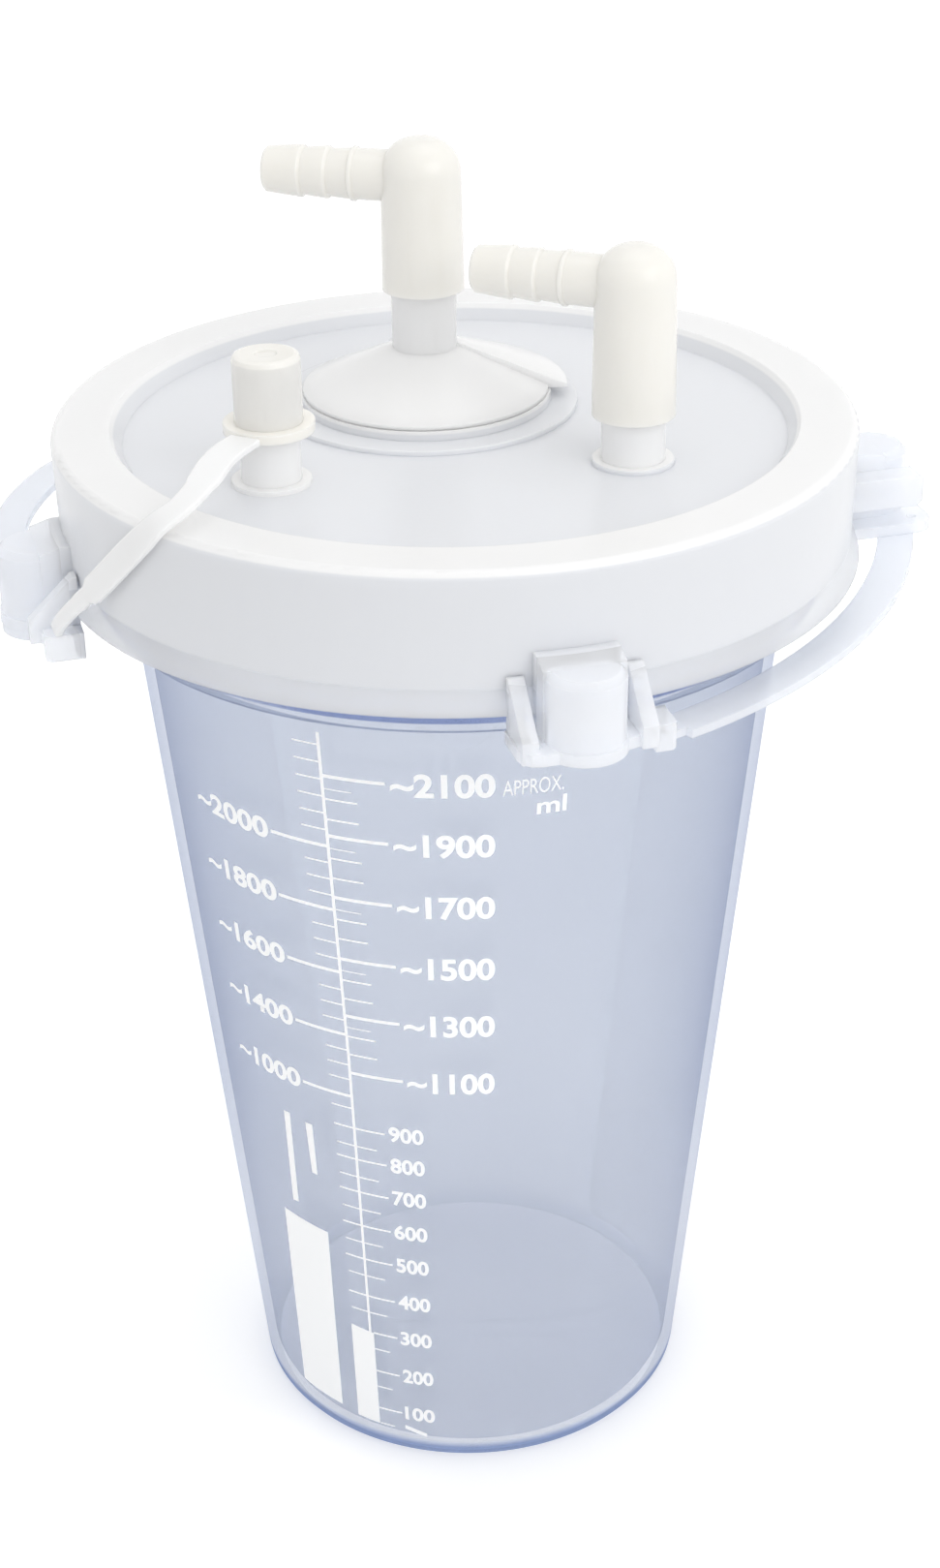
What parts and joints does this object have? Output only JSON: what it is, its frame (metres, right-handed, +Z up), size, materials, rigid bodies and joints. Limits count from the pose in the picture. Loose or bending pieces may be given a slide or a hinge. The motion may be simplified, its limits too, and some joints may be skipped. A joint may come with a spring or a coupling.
{
  "type": "medical suction canister",
  "caption": "Tapered clear jar with a white press-on lid, two swivelling elbow ports with hose barbs, a capped spigot and tethered caps parked round the rim.",
  "frame": {"origin": "centre of the jar's flat base", "axes": "+Z up along the jar's axis; -Y is the side that faces the user, +X to the user's right"},
  "size_m": [0.2129, 0.1955, 0.3018],
  "materials": {
    "clear_jar": "clear gloss",
    "lid_white": "translucent satin",
    "opaque_white": "satin",
    "ivory": "satin",
    "strap_white": "translucent satin",
    "filter_media": "fibrous"
  },
  "bodies": {
    "jar": {"jar": "clear_jar"},
    "lid": {"lid": "lid_white", "filter_housing": "opaque_white", "filter_disc": "filter_media", "front_strap": "strap_white", "right_strap": "strap_white", "back_strap": "strap_white", "tandem_strap": "strap_white"},
    "vacuum_elbow": {"vacuum_elbow": "ivory"},
    "patient_elbow": {"patient_elbow": "ivory"},
    "tandem_cap": {"tandem_cap": "ivory"},
    "right_cap": {"right_cap": "strap_white"},
    "back_cap": {"back_cap": "strap_white"},
    "left_cap": {"left_cap": "strap_white"}
  },
  "joints": [
    {"name": "lid_lift", "type": "slide", "parent": "jar", "child": "lid", "axis": [0, 0, 1], "range_m": [0, 0.07]},
    {"name": "vacuum_elbow_swivel", "type": "hinge", "parent": "lid", "child": "vacuum_elbow", "pos_m": [-0.0063, 0.016, 0.27], "axis": [0, 0, 1], "continuous": true},
    {"name": "patient_elbow_swivel", "type": "hinge", "parent": "lid", "child": "patient_elbow", "pos_m": [0.03678, -0.02149, 0.255], "axis": [0, 0, 1], "continuous": true},
    {"name": "tandem_cap_pull", "type": "slide", "parent": "lid", "child": "tandem_cap", "axis": [0, 0, 1], "range_m": [0, 0.018]},
    {"name": "right_cap_pull", "type": "slide", "parent": "lid", "child": "right_cap", "axis": [0, 0, -1], "range_m": [0, 0.016]},
    {"name": "back_cap_pull", "type": "slide", "parent": "lid", "child": "back_cap", "axis": [0, 0, -1], "range_m": [0, 0.016]},
    {"name": "left_cap_pull", "type": "slide", "parent": "lid", "child": "left_cap", "axis": [0, 0, -1], "range_m": [0, 0.016]}
  ]
}
